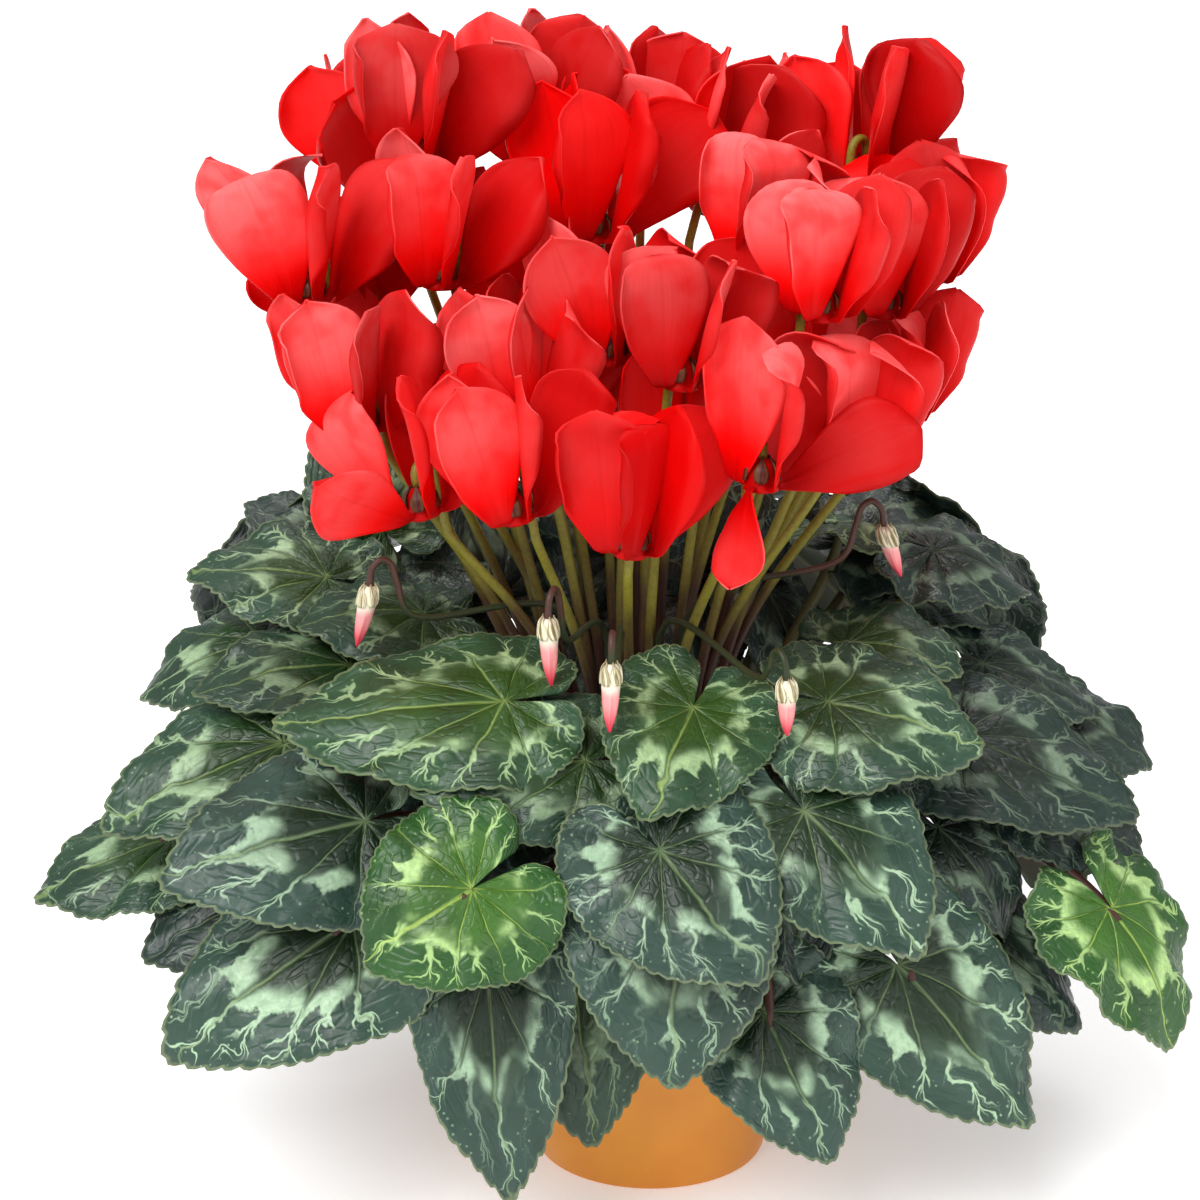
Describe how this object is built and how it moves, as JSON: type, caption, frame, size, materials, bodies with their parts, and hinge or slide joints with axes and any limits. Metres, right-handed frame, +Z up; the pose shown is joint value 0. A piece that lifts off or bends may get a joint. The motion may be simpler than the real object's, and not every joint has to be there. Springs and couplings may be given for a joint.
{
  "type": "potted cyclamen",
  "caption": "Potted cyclamen: nodding blooms with upswept petals on bare stems above a mound of marbled heart-shaped leaves, in a tapered plastic pot.",
  "frame": {"origin": "middle of the pot's flat base, on the surface it stands on", "axes": "+Z up along the pot, the plant's front towards -Y"},
  "size_m": [0.3841, 0.2895, 0.3879],
  "materials": {
    "pot": "satin",
    "soil": "matte",
    "stem": "satin",
    "petal": "satin",
    "leaf": "satin"
  },
  "bodies": {
    "root": {"pot": "pot", "soil": "soil", "crown": "stem", "bloom_01": "petal", "bloom_02": "petal", "bloom_03": "petal", "bloom_04": "petal", "bloom_05": "petal", "bloom_06": "petal", "bloom_07": "petal", "bloom_08": "petal", "bloom_09": "petal", "bloom_10": "petal", "bloom_11": "petal", "bloom_12": "petal", "bloom_13": "petal", "bloom_14": "petal", "bloom_15": "petal", "bloom_16": "petal", "bloom_17": "petal", "bloom_18": "petal", "bloom_19": "petal", "bloom_20": "petal", "bloom_21": "petal", "bloom_22": "petal", "bloom_23": "petal", "bloom_24": "petal", "bloom_25": "petal", "bloom_26": "petal", "bloom_27": "petal", "bloom_28": "petal", "bloom_29": "petal", "bloom_30": "petal", "bloom_31": "petal", "leaves_01": "leaf", "leaves_02": "leaf", "leaves_03": "leaf", "leaves_04": "leaf", "leaves_05": "leaf", "leaves_06": "leaf", "leaves_07": "leaf", "leaves_08": "leaf", "leaves_09": "leaf", "leaves_10": "leaf", "leaves_11": "leaf", "leaves_12": "leaf", "leaves_13": "leaf", "leaves_14": "leaf", "leaves_15": "leaf", "leaves_16": "leaf", "leaves_17": "leaf", "leaves_18": "leaf", "leaves_19": "leaf", "leaves_20": "leaf", "leaves_21": "leaf", "leaves_22": "leaf", "leaves_23": "leaf", "leaves_24": "leaf", "leaves_25": "leaf", "leaves_26": "leaf"}
  },
  "joints": []
}
